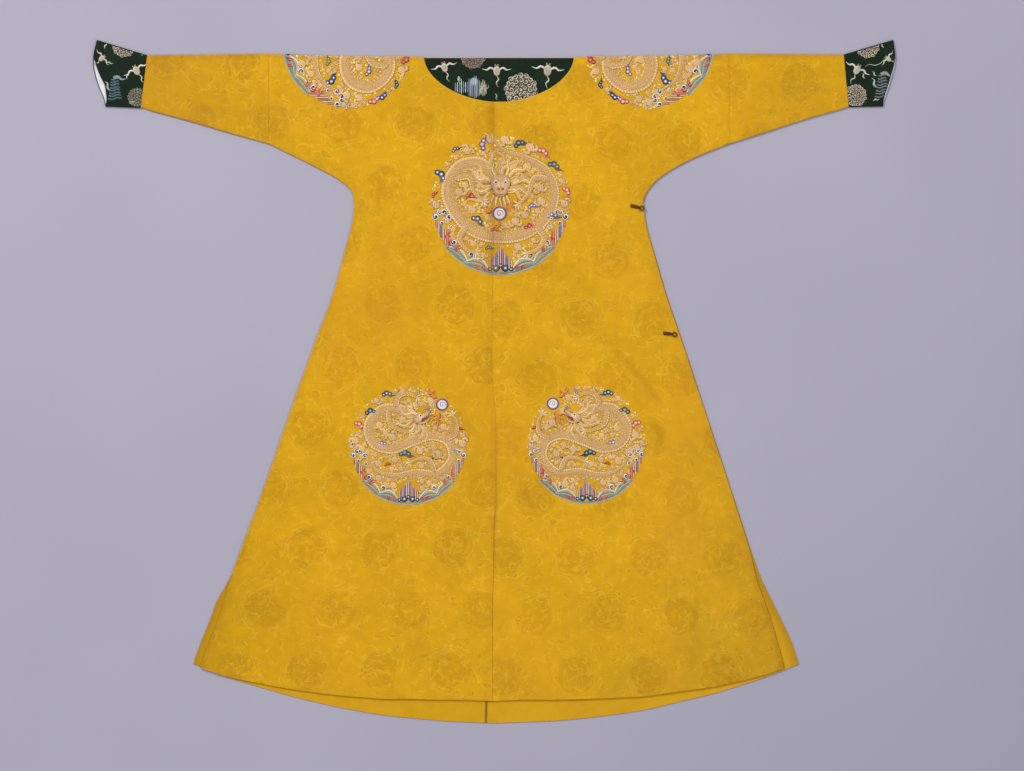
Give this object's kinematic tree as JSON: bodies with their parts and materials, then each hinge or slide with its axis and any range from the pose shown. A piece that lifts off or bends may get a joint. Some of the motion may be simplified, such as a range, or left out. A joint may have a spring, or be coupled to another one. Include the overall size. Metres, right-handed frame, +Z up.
{
  "type": "chinese dragon robe",
  "caption": "Long-sleeved silk robe with flared cuffs, a round neck and side vents, laid flat on its back with the front up.",
  "frame": {"origin": "middle of the robe's box, on the surface that it lies on", "axes": "+X across the robe, to the right of someone who looks down at it; +Y from the hem to the shoulders; +Z up, out of the front"},
  "size_m": [1.813, 1.5424, 0.0091],
  "materials": {
    "yellow_silk": "yellow silk damask with a soft sheen, embroidered roundels",
    "green_brocade": "dark green silk brocade with pale gold, blue and lilac motifs",
    "white_lining": "plain white silk lining",
    "brown_cord": "dark brown braided silk cord"
  },
  "bodies": {
    "root": {"body_left": "yellow_silk", "body_right": "yellow_silk", "sleeve_left": "yellow_silk", "sleeve_right": "yellow_silk", "cuff_left": "green_brocade", "cuff_right": "green_brocade", "cuff_lining_left": "white_lining", "cuff_lining_right": "white_lining", "neck_facing": "green_brocade", "loop_upper": "brown_cord", "loop_lower": "brown_cord"}
  },
  "joints": []
}
